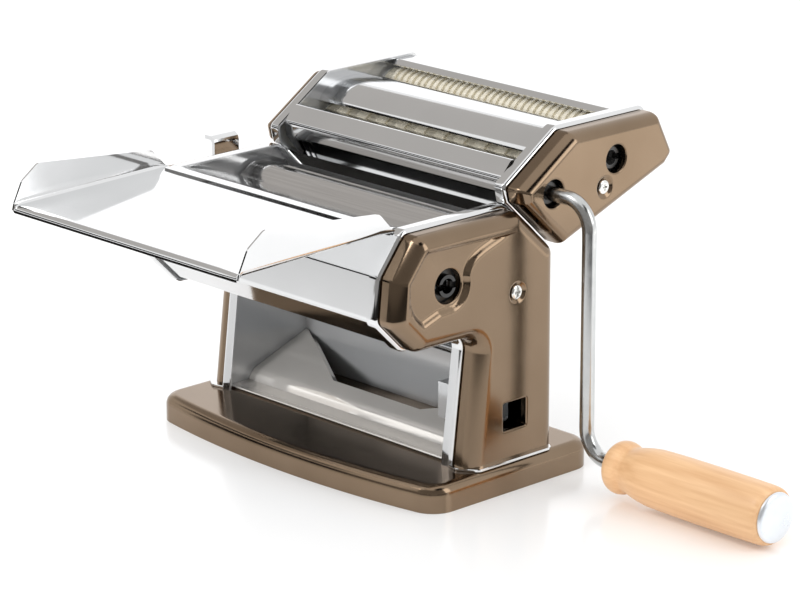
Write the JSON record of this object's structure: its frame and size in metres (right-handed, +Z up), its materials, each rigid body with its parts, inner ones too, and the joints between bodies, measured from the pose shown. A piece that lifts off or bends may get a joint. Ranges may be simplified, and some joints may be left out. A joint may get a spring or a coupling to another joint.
{
  "type": "pasta machine",
  "caption": "Hand-cranked table-top pasta machine: smooth sheet rollers with an adjustable gap, a lift-off feed tray, a slide-on noodle cutter unit and a crank with a wooden grip.",
  "frame": {"origin": "middle of the base underside, on the table", "axes": "+X along the rollers to the crank side, -Y towards the feed tray, +Z up"},
  "size_m": [0.326, 0.2507, 0.1556],
  "materials": {
    "bronze": "polished bronze",
    "chrome": "mirror",
    "steel": "turned",
    "nylon": "matt",
    "wood": "oiled beech",
    "cap": "satin"
  },
  "bodies": {
    "chassis": {"base_pan": "bronze", "base_plate": "steel", "right_frame": "chrome", "left_frame": "chrome", "right_cover": "bronze", "left_cover": "bronze", "front_fairing": "chrome", "rear_panel": "chrome", "chute": "chrome", "clamp_socket": "steel", "front_tie_rod": "steel", "rear_tie_rod": "steel", "lower_tie_rod": "steel", "tie_rod_screws": "steel", "front_scraper": "steel", "rear_scraper": "steel", "roller_bushes": "nylon", "bearing_bridge": "steel", "gap_bush": "nylon", "gap_dial": "chrome", "click_washer": "steel", "cover_stud": "steel", "cover_screws": "chrome", "foot_screws": "steel", "foot_nuts": "steel"},
    "drive": {"drive_roller": "chrome", "drive_gear": "steel"},
    "gap": {"eccentric_shaft": "steel", "gap_knob": "chrome", "knob_screw": "steel"},
    "liner": {"roller_liners": "nylon"},
    "adjust": {"adjust_roller": "chrome", "adjust_gear": "steel"},
    "tray": {"feed_tray": "chrome"},
    "cutter": {"cutter_right_frame": "chrome", "cutter_left_frame": "chrome", "cutter_right_cover": "bronze", "cutter_left_cover": "bronze", "cutter_front_sheet": "chrome", "cutter_hood": "chrome", "cutter_rear_sheet": "chrome", "wide_combs": "steel", "narrow_combs": "steel", "cutter_bushes": "nylon", "cutter_tie_rods": "steel", "cutter_tie_screws": "steel", "cutter_studs": "steel", "cutter_cover_screws": "chrome"},
    "wide_drive": {"wide_drive_cutter": "steel", "wide_drive_gear": "steel"},
    "wide_driven": {"wide_driven_cutter": "steel", "wide_driven_gear": "steel"},
    "narrow_drive": {"narrow_drive_cutter": "steel", "narrow_drive_gear": "steel"},
    "narrow_driven": {"narrow_driven_cutter": "steel", "narrow_driven_gear": "steel"},
    "crank": {"crank_rod": "chrome"},
    "grip": {"crank_grip": "wood", "grip_cap": "cap"}
  },
  "joints": [
    {"name": "drive_spin", "type": "hinge", "parent": "chassis", "child": "drive", "pos_m": [0, -0.0315, 0.1], "axis": [1, 0, 0], "continuous": true},
    {"name": "gap_set", "type": "hinge", "parent": "chassis", "child": "gap", "pos_m": [0, 0.00152, 0.10347], "axis": [1, 0, 0], "range_deg": [0, 150]},
    {"name": "liner_turn", "type": "hinge", "parent": "gap", "child": "liner", "pos_m": [0, 0.00239, 0.1038], "axis": [1, 0, 0], "range_deg": [-150, 0]},
    {"name": "adjust_spin", "type": "hinge", "parent": "liner", "child": "adjust", "pos_m": [0, 0.00239, 0.1038], "axis": [1, 0, 0], "continuous": true},
    {"name": "tray_lift", "type": "slide", "parent": "chassis", "child": "tray", "axis": [0, 0, 1], "range_m": [0, 0.06]},
    {"name": "cutter_slide", "type": "slide", "parent": "chassis", "child": "cutter", "axis": [0, -0.7337, 0.6794], "range_m": [0, 0.04]},
    {"name": "wide_spin", "type": "hinge", "parent": "cutter", "child": "wide_drive", "pos_m": [0, 0.031, 0.1295], "axis": [1, 0, 0], "continuous": true},
    {"name": "wide_follow", "type": "hinge", "parent": "cutter", "child": "wide_driven", "pos_m": [0, 0.04989, 0.13016], "axis": [1, 0, 0], "continuous": true},
    {"name": "narrow_spin", "type": "hinge", "parent": "cutter", "child": "narrow_drive", "pos_m": [0, 0.0705, 0.1383], "axis": [1, 0, 0], "continuous": true},
    {"name": "narrow_follow", "type": "hinge", "parent": "cutter", "child": "narrow_driven", "pos_m": [0, 0.08922, 0.14093], "axis": [1, 0, 0], "continuous": true},
    {"name": "crank_pull", "type": "slide", "parent": "wide_drive", "child": "crank", "axis": [1, 0, 0], "range_m": [0, 0.03]},
    {"name": "grip_spin", "type": "hinge", "parent": "crank", "child": "grip", "pos_m": [0.18, 0.031, 0.0143], "axis": [1, 0, 0], "continuous": true}
  ],
  "couplings": [
    {"joint": "liner_turn", "follows": "gap_set", "ratio": -1},
    {"joint": "adjust_spin", "follows": "drive_spin", "ratio": -1},
    {"joint": "wide_follow", "follows": "wide_spin", "ratio": -1},
    {"joint": "narrow_follow", "follows": "narrow_spin", "ratio": -1}
  ]
}
